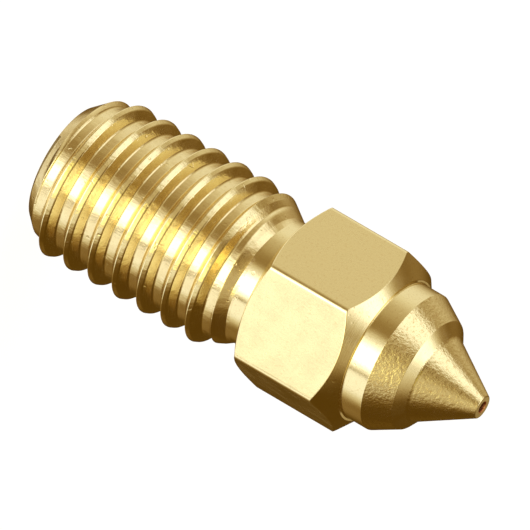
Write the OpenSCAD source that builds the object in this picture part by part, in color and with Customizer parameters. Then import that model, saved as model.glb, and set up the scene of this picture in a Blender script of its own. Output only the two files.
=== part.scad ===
// Brass extrusion nozzle, turned from one piece of hexagon bar: a threaded shank, a relief
// neck, a hexagon for the wrench, and a tapered tip around a stepped filament bore.
// The origin is the centre of the shank's flat end, which it stands on. +Z runs to the tip.

/* [Shank] */
// Outer diameter of the thread
thread_d = 5.96; // [4:0.01:8]
// Thread pitch
pitch = 1; // [0.5:0.05:1.5]
// Thread hand: 1 climbs to the right, -1 to the left
thread_hand = -1; // [-1:2:1]
// Radial depth of the thread groove
thread_depth = 0.42; // [0.2:0.01:0.8]
// Width of the flat land on the thread crest
crest_w = 0.06; // [0.05:0.01:0.5]
// Axial length of the gently sloping crown between the crest and its tip-side flank
crown_w = 0.15; // [0.05:0.01:0.3]
// How far the crown falls over that length
crown_drop = 0.072; // [0.03:0.001:0.2]
// Radius of the flat end that seals against the heat break
seat_r = 2.2; // [1.5:0.05:3]
// Length of the lead-in chamfer at the flat end
lead_in_len = 0.87; // [0.2:0.01:2]
// Height where the thread starts to run out
runout_z = 7.2; // [4:0.05:9]
// Height where the plain relief neck starts
relief_z = 8.2; // [5:0.05:9.5]
// Radius of the relief neck
relief_r = 2.31; // [1.8:0.01:2.8]

/* [Hexagon] */
// Width across the wrench flats
hex_af = 6; // [5:0.05:10]
// Height of the hexagon's lower face
hex_z = 9; // [6:0.05:12]
// Length of the hexagon
hex_len = 4.05; // [2:0.05:8]
// Radius where the lower chamfer meets the lower face
back_face_r = 2.9; // [2.4:0.01:3.4]
// Axial depth of the lower chamfer at the hexagon's corners
back_chamfer = 0.35; // [0.1:0.01:1]
// Radius where the upper chamfer meets the upper face
front_face_r = 2.65; // [2.4:0.01:3.4]
// Axial depth of the upper chamfer at the hexagon's corners
front_chamfer = 0.64; // [0.1:0.01:1.5]

/* [Nose] */
// Total length from the flat end to the tip face
total_len = 17; // [12:0.1:25]
// Radius of the round neck above the hexagon
neck_r = 2.55; // [1.8:0.01:3]
// Length of the round neck
neck_len = 0.82; // [0.2:0.01:3]
// Radius at the top of the broad cone
cone_top_r = 2.04; // [1.2:0.01:2.5]
// Length of the broad cone
cone_len = 0.9; // [0.3:0.01:3]
// Radius at the foot of the tip cone
tip_cone_r = 1.59; // [0.8:0.01:2.2]
// Length of the tip cone
tip_cone_len = 1.92; // [0.5:0.01:4]
// Radius of the flat tip face
tip_r = 0.42; // [0.2:0.01:1]

/* [Bore] */
// Radius of the filament bore
bore_r = 1; // [0.5:0.05:1.6]
// Radius of the bore's mouth on the flat end
mouth_r = 1.25; // [0.8:0.05:1.8]
// Depth of the mouth's chamfer
mouth_len = 0.25; // [0.1:0.05:1]
// Radius of the orifice
orifice_r = 0.2; // [0.05:0.01:0.6]
// Length of the orifice's straight land
land_len = 0.7; // [0.2:0.05:2]
// Length of the cone between the bore and the orifice
funnel_len = 1.4; // [0.3:0.05:3]

/* [Hidden] */
$fn = 96;
brass = [0.86, 0.68, 0.3];
thread_r = thread_d / 2;
root_r = thread_r - thread_depth;
flank_angle = 30;
// height of the crest's middle on +X, as a share of the pitch
crest_phase = 0.53;
// the helix stands this much proud of the crest cylinder, which trims its lands
crest_proud = 0.02;
proud_flank_w = (thread_depth + crest_proud) * tan(flank_angle);
// where the ridge's surfaces meet the raised crest, measured from the middle of the land
proud_start = crest_proud * tan(flank_angle) - crest_w / 2;
proud_end = crest_w / 2 - crest_proud * crown_w / crown_drop;
crown_end = crest_w / 2 + crown_w;
ridge_mid = proud_flank_w - proud_start;
turn_steps = 30;
turns_below = 2;
helix_start = -turns_below * pitch;
helix_turns = ceil((relief_z - helix_start) / pitch) + 1;
helix_steps = helix_turns * turn_steps;
cap_gap = pitch;
hex_top_z = hex_z + hex_len;
hex_sides = 6;
hex_corner_r = hex_af / 2 / cos(180 / hex_sides);
cone_z = hex_top_z + neck_len;
shoulder_z = cone_z + cone_len;
tip_cone_z = total_len - tip_cone_len;
// how far one shape reaches into the next
inside = 0.5;

// One ridge of the thread as radius and height, from its lower root corner
ridge = [
    [root_r, 0],
    [thread_r + crest_proud, proud_flank_w],
    [thread_r + crest_proud, ridge_mid + proud_end],
    [thread_r - crown_drop, ridge_mid + crown_end],
    [root_r, ridge_mid + crown_end + (thread_depth - crown_drop) * tan(flank_angle)]
];

function step_angle(i) = thread_hand * 360 * i / turn_steps;
function helix_z(i) = helix_start + (crest_phase + i / turn_steps) * pitch - ridge_mid;
function on_ring(r, i, z) = [r * cos(step_angle(i)), r * sin(step_angle(i)), z];
function row(i, p) = len(ridge) * i + p;
function quad(a, b, c, d) = [[a, b, c], [a, c, d]];
function turned(face) = [for (k = [len(face) - 1:-1:0]) face[k]];
// the faces are listed for a left-hand helix, and its mirror image needs them turned round
function facing(faces) = thread_hand < 0 ? faces : [for (f = faces) turned(f)];

// Rod with the helical thread all the way, capped flat well past both ends of the shank
module threaded_rod() {
    last = helix_steps - turn_steps;
    top = len(ridge) - 1;
    foot = row(helix_steps + 1, 0);
    head = foot + turn_steps;
    points = concat(
        [for (i = [0:helix_steps], p = ridge) on_ring(p[0], i, helix_z(i) + p[1])],
        [for (i = [0:turn_steps - 1]) on_ring(root_r, i, helix_z(0) - cap_gap)],
        [for (i = [0:turn_steps - 1]) on_ring(root_r, i, helix_z(helix_steps) + cap_gap)]
    );
    ridges = [
        for (i = [0:last - 1], p = [0:top - 1])
            each quad(row(i, p), row(i + 1, p), row(i + 1, p + 1), row(i, p + 1))
    ];
    roots = [
        for (i = [0:last - 1], above = i + turn_steps)
            each quad(row(i, top), row(i + 1, top), row(above + 1, 0), row(above, 0))
    ];
    first_section = [for (p = [0:top]) row(0, p)];
    last_section = [for (p = [top:-1:0]) row(last, p)];
    foot_wall = [
        for (i = [0:turn_steps - 2])
            each quad(foot + i, foot + i + 1, row(i + 1, 0), row(i, 0))
    ];
    foot_seam = [
        [foot + turn_steps - 1, foot, row(turn_steps - 1, 0)],
        [foot, row(0, 0), row(turn_steps - 1, 0)],
        [row(0, 0), row(0, top), row(turn_steps - 1, 0)],
        [row(0, top), row(turn_steps, 0), row(turn_steps - 1, 0)]
    ];
    head_wall = [
        for (i = [1:turn_steps - 1], next = (i + 1) % turn_steps)
            each quad(row(last + i, 0), row(last + i + 1, 0), head + next, head + i)
    ];
    head_seam = [
        [row(last, 0), row(last + 1, 0), head + 1],
        [row(last, 0), head + 1, row(last, top)],
        [row(last, top), head + 1, row(helix_steps, 0)],
        [row(helix_steps, 0), head + 1, head]
    ];
    foot_cap = [[for (i = [turn_steps - 1:-1:0]) foot + i]];
    head_cap = [[for (i = [0:turn_steps - 1]) head + i]];
    polyhedron(
        points,
        facing(concat(ridges, roots, [first_section], [last_section], foot_wall, foot_seam,
            head_wall, head_seam, foot_cap, head_cap))
    );
}

// What the lathe leaves of the shank: flat end, lead-in, crest, run-out and relief neck
module shank_envelope() {
    rotate_extrude() polygon([
        [0, 0],
        [seat_r, 0],
        [thread_r, lead_in_len],
        [thread_r, runout_z],
        [relief_r, relief_z],
        [relief_r, hex_z + inside],
        [0, hex_z + inside]
    ]);
}

module shank() {
    intersection() {
        threaded_rod();
        shank_envelope();
    }
}

// The hexagon bar, chamfered by a cone at each end, with its corners on +X and -X
module hexagon() {
    back_slope = (hex_corner_r - back_face_r) / back_chamfer;
    front_slope = (hex_corner_r - front_face_r) / front_chamfer;
    overshoot = 0.2;
    intersection() {
        translate([0, 0, hex_z]) cylinder(h = hex_len, r = hex_corner_r, $fn = hex_sides);
        rotate_extrude() polygon([
            [0, hex_z],
            [back_face_r, hex_z],
            [hex_corner_r + overshoot * back_slope, hex_z + back_chamfer + overshoot],
            [hex_corner_r + overshoot * front_slope, hex_top_z - front_chamfer - overshoot],
            [front_face_r, hex_top_z],
            [0, hex_top_z]
        ]);
    }
}

// Round neck, broad cone, shoulder and tip cone
module nose() {
    rotate_extrude() polygon([
        [0, hex_top_z - inside],
        [neck_r, hex_top_z - inside],
        [neck_r, cone_z],
        [cone_top_r, shoulder_z],
        [tip_cone_r, tip_cone_z],
        [tip_r, total_len],
        [0, total_len]
    ]);
}

// Filament bore with its mouth, the funnel, and the orifice's straight land
module bore() {
    funnel_z = total_len - land_len - funnel_len;
    rotate_extrude() polygon([
        [0, -inside],
        [mouth_r, -inside],
        [mouth_r, 0],
        [bore_r, mouth_len],
        [bore_r, funnel_z],
        [orifice_r, total_len - land_len],
        [orifice_r, total_len + inside],
        [0, total_len + inside]
    ]);
}

module nozzle() {
    color(brass) difference() {
        union() {
            shank();
            hexagon();
            nose();
        }
        bore();
    }
}

nozzle();
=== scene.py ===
"""Looks for a brass extrusion nozzle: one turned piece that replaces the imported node."""

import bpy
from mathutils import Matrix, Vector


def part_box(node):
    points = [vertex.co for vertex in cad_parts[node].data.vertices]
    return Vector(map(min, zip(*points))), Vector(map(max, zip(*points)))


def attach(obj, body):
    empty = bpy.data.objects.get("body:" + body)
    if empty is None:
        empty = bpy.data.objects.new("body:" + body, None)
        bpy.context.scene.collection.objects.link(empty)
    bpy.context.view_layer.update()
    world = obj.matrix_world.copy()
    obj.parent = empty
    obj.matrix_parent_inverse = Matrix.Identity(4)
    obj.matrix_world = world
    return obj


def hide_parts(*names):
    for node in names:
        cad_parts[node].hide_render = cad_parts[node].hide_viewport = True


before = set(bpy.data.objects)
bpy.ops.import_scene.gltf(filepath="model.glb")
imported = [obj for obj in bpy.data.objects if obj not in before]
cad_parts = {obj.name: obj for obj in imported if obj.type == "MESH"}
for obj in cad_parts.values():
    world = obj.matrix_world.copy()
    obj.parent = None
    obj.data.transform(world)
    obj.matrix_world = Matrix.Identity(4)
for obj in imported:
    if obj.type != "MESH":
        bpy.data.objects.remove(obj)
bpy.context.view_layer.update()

import math

import bpy
import numpy as np
from mathutils import Matrix, Vector

MM = 0.001
NODE = "nozzle"
low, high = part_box(NODE)
LENGTH = (high[2] - low[2]) / MM

# ---------------------------------------------------------------- sizes, in mm
# They are the CAD's, but for the crest's land, which is narrower, and the added rounds.
THREAD_R = 2.98
PITCH = 1.0
HAND = -1
THREAD_DEPTH = 0.42
FLANK_SLOPE = math.tan(math.radians(30))
CREST_W = 0.03
CROWN_W = 0.15
CROWN_DROP = 0.072
# height of the crest's middle on +X, as a share of the pitch
CREST_PHASE = 0.53
CREST_ROUND = 0.015
CROWN_ROUND = 0.14
ROOT_ROUND = 0.12
SEAT_R = 2.2
LEAD_IN = 0.87
RUNOUT_Z = 7.2
RELIEF_Z = 8.2
RELIEF_R = 2.31
HEX_Z = 9.0
HEX_LEN = 4.05
HEX_INRADIUS = (high[1] - low[1]) / 2 / MM
# half of the 60 degrees that each flat takes up
HALF_FLAT = math.radians(30)
EDGE_ROUND = 0.2
BACK_FACE_R = 2.9
BACK_CHAMFER = 0.35
FRONT_FACE_R = 2.65
FRONT_CHAMFER = 0.64
NECK_R = 2.55
NECK_LEN = 0.82
CONE_TOP_R = 2.04
CONE_LEN = 0.9
TIP_CONE_R = 1.59
TIP_CONE_LEN = 1.92
TIP_R = 0.42
BORE_R = 1.0
MOUTH_R = 1.25
MOUTH_LEN = 0.25
ORIFICE_R = 0.2
LAND_LEN = 0.7
FUNNEL_LEN = 1.4

HEX_TOP = HEX_Z + HEX_LEN
HEX_CORNER_R = HEX_INRADIUS / math.cos(HALF_FLAT)
CONE_Z = HEX_TOP + NECK_LEN
SHOULDER_Z = CONE_Z + CONE_LEN
TIP_CONE_Z = LENGTH - TIP_CONE_LEN


# ---------------------------------------------------------------- columns round the axis
def column_angles():
    """Angles of the mesh columns in degrees: even steps, with close ones over each rounded edge."""
    over_edge = [0.0, 0.45, 0.9, 1.3, 1.7, 2.3, 3.3]
    over_flat = list(np.linspace(4.8, 30.0, 18))
    half = over_edge + over_flat
    sextant = half[:-1] + [60.0 - angle for angle in reversed(half[1:])]
    return np.array([60.0 * side + angle for side in range(6) for angle in sextant])


ANGLES = column_angles()
COLUMNS = len(ANGLES)
COS = np.cos(np.radians(ANGLES))
SIN = np.sin(np.radians(ANGLES))


def hexagon_radius(angles):
    """Radius of the hexagon bar with rounded edges at each angle. Its corners lie on +X and every
    60 degrees from there."""
    off_corner = np.radians((angles + 30.0) % 60.0 - 30.0)
    centre = (HEX_INRADIUS - EDGE_ROUND) / math.cos(HALF_FLAT)
    flat = HEX_INRADIUS / np.cos(HALF_FLAT - np.abs(off_corner))
    inside = np.clip(EDGE_ROUND ** 2 - (centre * np.sin(off_corner)) ** 2, 0, None)
    rounded = centre * np.cos(off_corner) + np.sqrt(inside)
    # the round takes this much of the flat, measured from the sharp corner
    reach = EDGE_ROUND * math.tan(HALF_FLAT)
    tangent = math.atan2(
        reach * math.sin(2 * HALF_FLAT),
        HEX_CORNER_R - reach * math.cos(2 * HALF_FLAT),
    )
    return np.where(np.abs(off_corner) < tangent, rounded, flat)


# ---------------------------------------------------------------- profiles
# an arc takes at most this share of the shorter side next to it
LONGEST_REACH = 0.45


def filleted(corners, rounds, steps):
    """Polyline corners turned into arcs. corners holds a point for each column at each corner of
    the profile, and corner k gives steps[k] + 1 points, or one point where steps[k] is 0."""
    rows = [corners[0]]
    for k in range(1, len(corners) - 1):
        before, corner, after = corners[k - 1], corners[k], corners[k + 1]
        if steps[k] == 0:
            rows.append(corner)
            continue
        a, b = before - corner, after - corner
        len_a = np.linalg.norm(a, axis=1, keepdims=True)
        len_b = np.linalg.norm(b, axis=1, keepdims=True)
        a, b = a / len_a, b / len_b
        half = np.arccos(np.clip((a * b).sum(1, keepdims=True), -1, 1)) / 2
        reach = np.minimum(rounds[k] / np.tan(half), LONGEST_REACH * np.minimum(len_a, len_b))
        radius = reach * np.tan(half)
        middle = a + b
        middle = middle / np.linalg.norm(middle, axis=1, keepdims=True)
        centre = corner + middle * radius / np.sin(half)
        start, end = corner + a * reach - centre, corner + b * reach - centre
        sweep = math.pi - 2 * half
        for s in range(steps[k] + 1):
            t = s / steps[k]
            turned = np.sin((1 - t) * sweep) * start + np.sin(t * sweep) * end
            rows.append(centre + turned / np.sin(sweep))
    rows.append(corners[-1])
    return rows


def ring(r, z):
    """One profile point for every column; r may be a number or one value for each column."""
    return np.stack([np.broadcast_to(r, COLUMNS), np.broadcast_to(z, COLUMNS)], axis=1).astype(float)


def between(rows, start, count):
    """Even rows put in after row start, so that a long face has more than one quad along it."""
    a, b = rows[start], rows[start + 1]
    extra = [a + (b - a) * (i + 1) / (count + 1) for i in range(count)]
    return rows[:start + 1] + extra + rows[start + 1:]


# ---------------------------------------------------------------- thread
def ridge_profile():
    """One pitch of the thread from the middle of a crest to the next: distance along the axis and
    depth. A gently sloping crown lies between the crest and the flank on its tip side."""
    crown_end = CREST_W / 2 + CROWN_W
    corners = np.array([
        [0.0, 0.0],
        [CREST_W / 2, 0.0],
        [crown_end, CROWN_DROP],
        [crown_end + (THREAD_DEPTH - CROWN_DROP) * FLANK_SLOPE, THREAD_DEPTH],
        [PITCH - CREST_W / 2 - THREAD_DEPTH * FLANK_SLOPE, THREAD_DEPTH],
        [PITCH - CREST_W / 2, 0.0],
        [PITCH, 0.0],
    ])[:, None, :]
    rounds = [0, CREST_ROUND, CROWN_ROUND, ROOT_ROUND, ROOT_ROUND, CREST_ROUND, 0]
    steps = [0, 2, 6, 4, 4, 2, 0]
    rows = filleted(corners, rounds, steps)
    # the flat root starts at the last row of the corner before it
    root_corner = 3
    root_start = sum(step + 1 for step in steps[1:root_corner + 1])
    rows = between(rows, root_start, 3)
    return np.array([row[0] for row in rows[:-1]])


def envelope(z):
    """Outer limit of the shank at height z: lead-in, crest, run-out, relief."""
    heights = [0, LEAD_IN, RUNOUT_Z, RELIEF_Z, HEX_Z]
    return np.interp(z, heights, [SEAT_R, THREAD_R, THREAD_R, RELIEF_R, RELIEF_R])


def soft_min(a, b, width):
    """Smaller of a and b, with the corner between them eased over width."""
    share = np.clip(0.5 + 0.5 * (b - a) / width, 0, 1)
    return b + (a - b) * share - width * share * (1 - share)


SHANK_TOP = RELIEF_Z + 0.1
# how softly the lead-in and the run-out cut the ridges
EASE = 0.02
# turns of the helix past each end of the shank, so that its sloping ends are cut level
SPARE_TURNS = 2


def shank_rows():
    """Rows that follow the helix. Row i at the last column meets row i +- one pitch at the first."""
    along, depth = ridge_profile().T
    per_pitch = len(along)
    turns_up = math.ceil(SHANK_TOP / PITCH)
    shift = HAND * ANGLES / 360.0
    rows = []
    for turn in range(-SPARE_TURNS, turns_up + SPARE_TURNS):
        for u, d in zip(along, depth):
            z = np.clip((turn + CREST_PHASE + shift) * PITCH + u, 0.0, SHANK_TOP)
            r = soft_min(THREAD_R - d, envelope(z), EASE)
            r = np.where(z >= RELIEF_Z, RELIEF_R, r)
            r = np.where(z <= 0.0, SEAT_R, r)
            rows.append(np.stack([r, z], axis=1))
    return rows, per_pitch


# ---------------------------------------------------------------- mesh
ZONES = [
    "thread", "relief", "flats", "chamfer", "neck", "cone", "shoulder", "tip", "rim", "bore", "seat",
]
rings, quads, zones = [], [], []


def put(rows):
    """Adds rows of (r, z) for each column and returns their vertex numbers."""
    first = len(rings) * COLUMNS
    for row in rows:
        rings.append(np.stack([row[:, 0] * COS, row[:, 0] * SIN, row[:, 1]], axis=1))
    return [np.arange(first + k * COLUMNS, first + (k + 1) * COLUMNS) for k in range(len(rows))]


def skin(numbers, zone, wrap=0):
    """Quads between neighbouring rows, going up the profile. wrap is the row shift over a turn."""
    for k in range(len(numbers) - 1):
        low_row, high_row = numbers[k], numbers[k + 1]
        for j in range(COLUMNS - 1):
            quads.append((low_row[j], low_row[j + 1], high_row[j + 1], high_row[j]))
            zones.append(zone)
        over = k + wrap
        if 0 <= over and over + 1 < len(numbers):
            quads.append((low_row[-1], numbers[over][0], numbers[over + 1][0], high_row[-1]))
            zones.append(zone)


def build_shank():
    rows, per_pitch = shank_rows()
    skin(put(rows), ZONES.index("thread"), wrap=HAND * per_pitch)


def build_rest():
    """Everything but the threaded length, as one outline from the relief over the tip and down
    through the bore to the flat end."""
    r_hex = hexagon_radius(ANGLES)
    back = HEX_Z + (r_hex - BACK_FACE_R) / (HEX_CORNER_R - BACK_FACE_R) * BACK_CHAMFER
    front = HEX_TOP - (r_hex - FRONT_FACE_R) / (HEX_CORNER_R - FRONT_FACE_R) * FRONT_CHAMFER
    # zone of the face that starts here, corner, radius of its round, steps of the round
    outline = [
        ("relief", ring(RELIEF_R, SHANK_TOP), 0, 0),
        ("relief", ring(RELIEF_R, HEX_Z), 0.08, 3),
        ("chamfer", ring(BACK_FACE_R, HEX_Z), 0.05, 2),
        ("flats", ring(r_hex, back), 0.05, 3),
        ("chamfer", ring(r_hex, front), 0.05, 3),
        ("neck", ring(FRONT_FACE_R, HEX_TOP), 0.03, 2),
        ("neck", ring(NECK_R, HEX_TOP), 0.03, 2),
        ("cone", ring(NECK_R, CONE_Z), 0.04, 3),
        ("shoulder", ring(CONE_TOP_R, SHOULDER_Z), 0.05, 3),
        ("tip", ring(TIP_CONE_R, TIP_CONE_Z), 0.3, 6),
        ("rim", ring(TIP_R, LENGTH), 0.06, 4),
        ("bore", ring(ORIFICE_R, LENGTH), 0.03, 3),
        ("bore", ring(ORIFICE_R, LENGTH - LAND_LEN), 0.0, 0),
        ("bore", ring(BORE_R, LENGTH - LAND_LEN - FUNNEL_LEN), 0.0, 0),
        ("bore", ring(BORE_R, MOUTH_LEN), 0.03, 2),
        ("seat", ring(MOUTH_R, 0.0), 0.03, 2),
        ("seat", ring(SEAT_R, 0.0), 0, 0),
    ]
    names, corners, rounds, steps = zip(*outline)
    rows = put(filleted(np.array(corners), rounds, steps))
    # a round belongs to the zone that follows it
    after = [name for name, step in zip(names[:-1], steps) for _ in range(step + 1)]
    for k in range(len(rows) - 1):
        skin([rows[k], rows[k + 1]], ZONES.index(after[k]))


build_shank()
build_rest()


# vertices this close are one, in mm
SAME_PLACE = 1e-5


def weld(vertices, faces):
    """Joins vertices that share a place, and drops faces and corners that this closes up."""
    key = np.round(vertices / SAME_PLACE).astype(np.int64)
    _, first, number = np.unique(key, axis=0, return_index=True, return_inverse=True)
    number = number.reshape(-1)
    kept_faces, kept_zones = [], []
    seen = set()
    for face, zone in zip(faces, zones):
        corners = [int(number[i]) for i in face]
        corners = [c for i, c in enumerate(corners) if c != corners[i - 1]]
        if len(set(corners)) < 3 or len(set(corners)) != len(corners):
            continue
        name = frozenset(corners)
        if name in seen:
            continue
        seen.add(name)
        kept_faces.append(corners)
        kept_zones.append(zone)
    used = np.unique([c for f in kept_faces for c in f])
    renumber = {int(u): i for i, u in enumerate(used)}
    kept_faces = [[renumber[c] for c in f] for f in kept_faces]
    return vertices[first][used], kept_faces, kept_zones


def area_normals(vertices, faces):
    """Vertex normals weighted by face area, so that wide flat faces stay flat next to narrow arcs."""
    total = np.zeros_like(vertices)
    for size in (3, 4):
        chosen = np.array([f for f in faces if len(f) == size])
        if not len(chosen):
            continue
        a, b = vertices[chosen[:, 0]], vertices[chosen[:, 1]]
        c, d = vertices[chosen[:, 2]], vertices[chosen[:, -1]]
        normal = np.cross(c - a, d - b) if size == 4 else np.cross(b - a, c - a)
        for k in range(size):
            np.add.at(total, chosen[:, k], normal)
    return total / np.linalg.norm(total, axis=1, keepdims=True)


vertices, faces, face_zones = weld(np.concatenate(rings), quads)
mesh = bpy.data.meshes.new("nozzle_body")
mesh.from_pydata([tuple(v) for v in vertices * MM], [], faces)
mesh.polygons.foreach_set("use_smooth", [True] * len(mesh.polygons))
mesh.polygons.foreach_set("material_index", face_zones)
mesh.normals_split_custom_set_from_vertices([tuple(n) for n in area_normals(vertices, faces)])
body = bpy.data.objects.new("nozzle_body", mesh)
bpy.context.scene.collection.objects.link(body)
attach(body, "root")
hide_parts(NODE)


# ---------------------------------------------------------------- shader nodes
class Graph:
    """Short names for the nodes that the materials and the studio light are built from."""

    def __init__(self, tree):
        self.tree = tree
        tree.nodes.clear()

    def node(self, kind, **settings):
        made = self.tree.nodes.new("ShaderNode" + kind)
        for name, value in settings.items():
            setattr(made, name, value)
        return made

    def feed(self, socket, value):
        if isinstance(value, bpy.types.NodeSocket):
            self.tree.links.new(value, socket)
        else:
            socket.default_value = value

    def math(self, operation, *values):
        made = self.node("Math", operation=operation)
        for socket, value in zip(made.inputs, values):
            self.feed(socket, value)
        return made.outputs[0]

    def ease(self, value, start, end, low=0.0, high=1.0):
        """Smooth step from low at start to high at end."""
        made = self.node("MapRange", interpolation_type="SMOOTHSTEP")
        names = ("Value", "From Min", "From Max", "To Min", "To Max")
        for name, number in zip(names, (value, start, end, low, high)):
            self.feed(made.inputs[name], number)
        return made.outputs["Result"]

    def window(self, value, rise, fall):
        """1 from the end of the rise to the start of the fall, and 0 outside them."""
        return self.math("SUBTRACT", self.ease(value, *rise), self.ease(value, *fall))

    def split(self, vector):
        made = self.node("SeparateXYZ")
        self.feed(made.inputs[0], vector)
        return made.outputs

    def join(self, x, y, z):
        made = self.node("CombineXYZ")
        for socket, value in zip(made.inputs, (x, y, z)):
            self.feed(socket, value)
        return made.outputs[0]

    def dot(self, vector, axis):
        made = self.node("VectorMath", operation="DOT_PRODUCT")
        self.feed(made.inputs[0], vector)
        made.inputs[1].default_value = axis
        return made.outputs["Value"]

    def noise(self, vector, scale, detail=2.0, roughness=0.5):
        made = self.node("TexNoise")
        self.feed(made.inputs["Vector"], vector)
        made.inputs["Scale"].default_value = scale
        made.inputs["Detail"].default_value = detail
        made.inputs["Roughness"].default_value = roughness
        return made.outputs["Fac"]

    def ramp(self, value, stops):
        """Colours along a value; stops are (value, colour) from 0 to 1."""
        made = self.node("ValToRGB")
        self.feed(made.inputs[0], value)
        elements = made.color_ramp.elements
        while len(elements) < len(stops):
            elements.new(0.5)
        for element, (position, colour) in zip(elements, stops):
            element.position = position
            element.color = (*colour, 1)
        return made.outputs["Color"]

    def blend(self, share, a, b):
        made = self.node("Mix", data_type="RGBA")
        for name, value in zip(("Factor_Float", "A_Color", "B_Color"), (share, a, b)):
            socket = next(i for i in made.inputs if i.identifier == name)
            self.feed(socket, value)
        return next(o for o in made.outputs if o.identifier == "Result_Color")


# ---------------------------------------------------------------- brass
BRIGHT_BRASS = (0.94, 0.81, 0.45, 1)
# colour of the dull spots, and of the painted shade deep in the thread's groove
DULL_AND_GROOVE_SHADE_BRASS = (0.68, 0.43, 0.15, 1)
# painted shade: a darker, redder brass for the inside of the bore, which stands in for its shade
BORE_SHADE_BRASS = (0.70, 0.30, 0.13, 1)
# how much faster the lathe rings come along a flat face than along the axis, and how much slower
# they change round it
FACE_RINGS = 1.7
RING_DRIFT = 0.35
DENTS_PER_MM = 4.5
CLOUDS_PER_MM = 1.3
SPOTS_PER_MM = 11.0
GROOVE_SHADE_PER_MM = 2.4
# shares of the groove's depth over which the painted groove shade sets in
GROOVE_SHADE_FROM, GROOVE_SHADE_TO = 0.3, 0.8
# roughness of the clouds' smooth and rough parts, as shares of the finish's own
SMOOTH_SHARE, ROUGH_SHARE = 0.8, 1.25
# what the dull spots and the painted groove shade add to the roughness
DULL_ROUGHNESS = 0.2


def brass(name, roughness, ring_height, rings_per_mm, grain_height, grains_per_mm, grain_stretch,
          dent_depth, stain, metal=BRIGHT_BRASS, groove_shade=0.0):
    """Turned brass. The lathe leaves rings, the bar and the tools leave grain, handling leaves
    dents, stain is the share of duller spots, and groove_shade that of painted shade: darker
    patches deep in the thread's groove, where its ridges shade the root. Heights and depths are in
    mm."""
    material = bpy.data.materials.new(name)
    material.use_nodes = True
    g = Graph(material.node_tree)
    scaled = g.node("VectorMath", operation="SCALE")
    g.feed(scaled.inputs[0], g.node("TexCoord").outputs["Object"])
    scaled.inputs["Scale"].default_value = 1 / MM
    spot = scaled.outputs[0]
    x, y, z = g.split(spot)
    radius = g.math("SQRT", g.math("ADD", g.math("MULTIPLY", x, x), g.math("MULTIPLY", y, y)))

    # rings change quickly along the profile, on flat faces too, and slowly round the axis
    profile = g.math("SUBTRACT", z, g.math("MULTIPLY", radius, FACE_RINGS))
    along = g.math("MULTIPLY", profile, rings_per_mm)
    across = g.math("MULTIPLY", x, RING_DRIFT)
    around = g.math("MULTIPLY", y, RING_DRIFT)
    lathe_rings = g.noise(g.join(across, around, along), 1.0, 3.0, 0.6)
    grains = g.noise(g.join(x, y, g.math("MULTIPLY", z, grain_stretch)), grains_per_mm, 3.0, 0.6)
    dents = g.ease(g.noise(spot, DENTS_PER_MM, 1.0, 0.4), 0.70, 0.78)
    ring_part = g.math("MULTIPLY", lathe_rings, ring_height)
    grain_part = g.math("MULTIPLY", grains, grain_height)
    height = g.math("ADD", ring_part, grain_part)
    height = g.math("SUBTRACT", height, g.math("MULTIPLY", dents, dent_depth))
    bump = g.node("Bump")
    bump.inputs["Strength"].default_value = 1.0
    bump.inputs["Distance"].default_value = MM
    g.feed(bump.inputs["Height"], height)

    clouds = g.noise(spot, CLOUDS_PER_MM, 3.0, 0.6)
    spots = g.noise(spot, SPOTS_PER_MM, 3.0, 0.7)
    dull_spots_and_groove_shade = g.math("MULTIPLY", g.ease(spots, 0.50, 0.75), stain)
    # painted shade: darker, duller patches deeper in the thread's groove, where the ridges shade the
    # root
    if groove_shade:
        patches = g.ease(g.noise(spot, GROOVE_SHADE_PER_MM, 4.0, 0.7), 0.25, 0.65)
        start, end = THREAD_R - THREAD_DEPTH * GROOVE_SHADE_FROM, THREAD_R - THREAD_DEPTH * GROOVE_SHADE_TO
        deep = g.ease(radius, start, end)
        painted_groove_shade = g.math("MULTIPLY", g.math("MULTIPLY", patches, groove_shade), deep)
        dull_spots_and_groove_shade = g.math("MAXIMUM", dull_spots_and_groove_shade, painted_groove_shade)
    colour = g.blend(dull_spots_and_groove_shade, metal, DULL_AND_GROOVE_SHADE_BRASS)
    rough = g.ease(clouds, 0.3, 0.7, roughness * SMOOTH_SHARE, roughness * ROUGH_SHARE)
    rough = g.math("ADD", rough, g.math("MULTIPLY", dull_spots_and_groove_shade, DULL_ROUGHNESS))

    shader = g.node("BsdfPrincipled")
    g.feed(shader.inputs["Base Color"], colour)
    shader.inputs["Metallic"].default_value = 1.0
    g.feed(shader.inputs["Roughness"], rough)
    g.feed(shader.inputs["Normal"], bump.outputs["Normal"])
    g.feed(g.node("OutputMaterial").inputs["Surface"], shader.outputs[0])
    return material


# roughness, ring height and rings per mm, grain height, grains per mm and their stretch along
# the axis, dent depth, share of dull spots, and for two of them the metal and the painted groove
# shade
FINISH = {
    "thread": (0.16, 0.0014, 12, 0.0150, 3, 0.40, 0.006, 0.45, BRIGHT_BRASS, 0.22),
    "relief": (0.14, 0.0030, 9, 0.0010, 12, 1.0, 0.003, 0.25),
    "flats": (0.21, 0.0, 10, 0.0008, 15, 1.0, 0.0005, 0.35),
    "chamfer": (0.17, 0.0016, 12, 0.0012, 11, 1.0, 0.002, 0.30),
    "neck": (0.15, 0.0014, 11, 0.0012, 11, 1.0, 0.002, 0.30),
    "cone": (0.15, 0.0015, 9, 0.0140, 9, 0.9, 0.0, 0.85),
    "shoulder": (0.20, 0.0010, 12, 0.0012, 12, 1.0, 0.0, 0.20),
    "tip": (0.16, 0.0022, 12, 0.0130, 9, 0.7, 0.0015, 0.70),
    "rim": (0.22, 0.0010, 14, 0.0010, 14, 1.0, 0.0, 0.30),
    # the bore's darker, redder metal is painted shade
    "bore": (0.45, 0.0030, 10, 0.0030, 12, 1.0, 0.0, 0.30, BORE_SHADE_BRASS),
    "seat": (0.20, 0.0020, 12, 0.0010, 12, 1.0, 0.002, 0.30),
}
for zone in ZONES:
    mesh.materials.append(brass("brass_" + zone, *FINISH[zone]))

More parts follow.
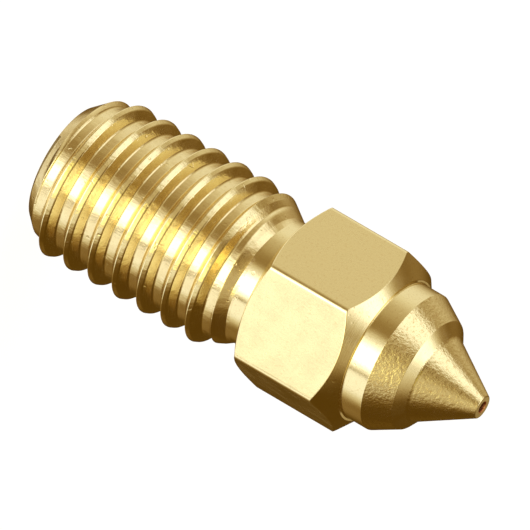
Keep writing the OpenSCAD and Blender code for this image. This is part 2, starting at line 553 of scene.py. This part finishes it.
# ---------------------------------------------------------------- floor
FLOOR_HALF = 0.6
# a grey that the studio lights, and a glow that lifts it to the photo's white
FLOOR_GREY = (0.2, 0.2, 0.2, 1)
FLOOR_GLOW = 0.93
square = ((-1, -1), (1, -1), (1, 1), (-1, 1))
floor_corners = [(x * FLOOR_HALF, y * FLOOR_HALF, 0) for x, y in square]
floor_mesh = bpy.data.meshes.new("floor")
floor_mesh.from_pydata(floor_corners, [], [(0, 1, 2, 3)])
floor = bpy.data.objects.new("floor", floor_mesh)
bpy.context.scene.collection.objects.link(floor)
# the brass mirrors the studio and not the floor, which lets the light from below through
floor.visible_glossy = False
floor.visible_shadow = False
floor_material = bpy.data.materials.new("pale_floor")
floor_material.use_nodes = True
floor_shader = floor_material.node_tree.nodes["Principled BSDF"]
floor_shader.inputs["Base Color"].default_value = FLOOR_GREY
floor_shader.inputs["Roughness"].default_value = 0.9
floor_shader.inputs["Emission Color"].default_value = (1, 1, 1, 1)
floor_shader.inputs["Emission Strength"].default_value = FLOOR_GLOW
floor_mesh.materials.append(floor_material)

# ---------------------------------------------------------------- camera
# degrees; lens and sensor in mm; the width of the picture at the nozzle and the aim's distance
# from the nozzle's middle in mm
CAMERA_AZIMUTH = 128.4
CAMERA_ELEVATION = 20.5
CAMERA_ROLL = 120.3
LENS = 1394
SENSOR = 36
FRAME_WIDTH = 17.58
AIM_RIGHT, AIM_UP = -0.307, 0.684


def aim_at(azimuth, elevation):
    """Unit vector towards an azimuth and elevation in degrees."""
    azimuth, elevation = math.radians(azimuth), math.radians(elevation)
    flat = math.cos(elevation)
    return Vector((math.cos(azimuth) * flat, math.sin(azimuth) * flat, math.sin(elevation)))


def make_camera():
    """A long lens that looks down on the nozzle, rolled so that the tip points to lower right."""
    back = aim_at(CAMERA_AZIMUTH, CAMERA_ELEVATION)
    level_right = Vector((0, 0, 1)).cross(back).normalized()
    level_up = back.cross(level_right)
    roll = math.radians(CAMERA_ROLL)
    right = level_right * math.cos(roll) + level_up * math.sin(roll)
    up = back.cross(right)
    centre = (Vector(low) + Vector(high)) / 2
    aim = centre + (right * AIM_RIGHT + up * AIM_UP) * MM
    data = bpy.data.cameras.new("camera")
    data.sensor_width = SENSOR
    data.lens = LENS
    distance = FRAME_WIDTH * MM * LENS / SENSOR
    data.clip_start, data.clip_end = 0.01, 5
    camera = bpy.data.objects.new("camera", data)
    turn = Matrix((right, up, back)).transposed().to_4x4()
    camera.matrix_world = Matrix.Translation(aim + back * distance) @ turn
    bpy.context.scene.collection.objects.link(camera)
    bpy.context.scene.camera = camera


make_camera()

# ---------------------------------------------------------------- light
# brightness of the room between the panels
ROOM_LEVEL = 0.10


def soft_panels(g, direction):
    """Brightness of the studio by direction, and of a gold card in it: soft panels round a dim,
    warm room. Angles are in degrees."""
    x, y, z = g.split(direction)
    degrees = math.degrees(1)
    azimuth = g.math("MULTIPLY", g.math("ARCTAN2", y, x), degrees)
    elevation = g.math("MULTIPLY", g.math("ARCSINE", z), degrees)

    def panel(level, middle, left, right, bottom, top):
        """A panel with soft edges. left and right are each the start and end of an edge, from the
        azimuth of the middle; bottom and top are elevations."""
        side = g.math("WRAP", g.math("SUBTRACT", azimuth, middle), 180.0, -180.0)
        shape = g.math("MULTIPLY", g.window(side, left, right), g.window(elevation, bottom, top))
        return g.math("MULTIPLY", shape, level)

    def overhead_strip(level, edge, near, far):
        """A strip on the great circle that rises from the foot over the top. edge is the start and
        end of its soft side, and near and far are the edges along its length."""
        foot, top = aim_at(68, 30), aim_at(30, 70)
        pole = foot.cross(top).normalized()
        across = g.math("MULTIPLY", g.math("ARCSINE", g.dot(direction, pole)), degrees)
        ahead, level_with = g.dot(direction, pole.cross(foot)), g.dot(direction, foot)
        along = g.math("MULTIPLY", g.math("ARCTAN2", ahead, level_with), degrees)
        width = g.ease(g.math("ABSOLUTE", across), edge[0], edge[1], 1.0, 0.0)
        return g.math("MULTIPLY", g.math("MULTIPLY", width, g.window(along, near, far)), level)

    parts = [
        panel(0.78, 15, (-62, 0), (15, 88), (-85, -50), (-15, 50)),
        panel(0.20, 100, (-45, -15), (15, 45), (-85, -50), (0, 30)),
        panel(0.75, 155, (-48, -26), (19, 24), (-80, -60), (5, 30)),
        panel(1.8, 155, (-31, -11), (4, 20), (-44, -26), (0, 28)),
        panel(1.0, 195, (-17, -14), (10, 51), (-80, -60), (-14, 14)),
        panel(0.4, 190, (-12, -8), (4, 18), (-20, -5), (24, 34)),
        panel(0.52, 160, (-48, -10), (10, 70), (0, 20), (42, 75)),
        panel(0.4, 105, (-40, -15), (10, 35), (5, 20), (34, 54)),
        panel(0.40, 0, (-200, -190), (190, 200), (-80, -62), (-58, -38)),
        panel(0.65, 290, (-50, -30), (30, 50), (-90, -84), (-68, -56)),
        panel(0.14, 250, (-22, 0), (10, 40), (-60, -40), (-10, 5)),
        panel(0.28, 220, (-60, -25), (25, 60), (55, 70), (95, 100)),
        panel(0.28, 5, (-35, -10), (10, 30), (68, 78), (95, 100)),
        panel(0.15, 10, (-40, -15), (15, 35), (32, 40), (60, 72)),
        panel(0.32, 62, (-25, -8), (8, 25), (8, 20), (36, 46)),
        panel(0.35, 306, (-14, -6), (6, 14), (14, 18), (24, 30)),
        overhead_strip(0.8, (8, 33), (-34, -2), (55, 105)),
        overhead_strip(1.0, (2, 18), (10, 42), (45, 75)),
    ]
    total = ROOM_LEVEL
    for part in parts:
        total = g.math("ADD", total, part)
    card = panel(0.95, 150, (-26, -20), (22, 30), (-4, 12), (28, 33))
    card = g.math("ADD", card, panel(0.35, 155, (-30, -22), (26, 34), (52, 60), (68, 76)))
    return total, card


world = bpy.data.worlds.new("studio")
bpy.context.scene.world = world
world.use_nodes = True
g = Graph(world.node_tree)
level, card = soft_panels(g, g.node("TexCoord").outputs["Generated"])
# dim parts of the room are warm brown and the panels are white
WARMTH = [
    (0.0, (1, 0.45, 0.03)),
    (0.12, (1, 0.51, 0.06)),
    (0.36, (1, 0.72, 0.32)),
    (0.55, (1, 0.82, 0.50)),
    (0.84, (1, 0.94, 0.76)),
    (1.0, (1, 1, 1)),
]
GOLD_CARD = (1.0, 0.95, 0.30, 1)
background = g.node("Background")
g.feed(background.inputs["Color"], g.ramp(level, WARMTH))
g.feed(background.inputs["Strength"], level)
gold = g.node("Background")
gold.inputs["Color"].default_value = GOLD_CARD
g.feed(gold.inputs["Strength"], card)
lit = g.node("AddShader")
g.feed(lit.inputs[0], background.outputs[0])
g.feed(lit.inputs[1], gold.outputs[0])
backdrop = g.node("Background")
backdrop.inputs["Color"].default_value = (1, 1, 1, 1)
seen = g.node("MixShader")
g.feed(seen.inputs[0], g.node("LightPath").outputs["Is Camera Ray"])
g.feed(seen.inputs[1], lit.outputs[0])
g.feed(seen.inputs[2], backdrop.outputs[0])
g.feed(g.node("OutputWorld").inputs["Surface"], seen.outputs[0])
bpy.context.scene.view_settings.view_transform = "Standard"
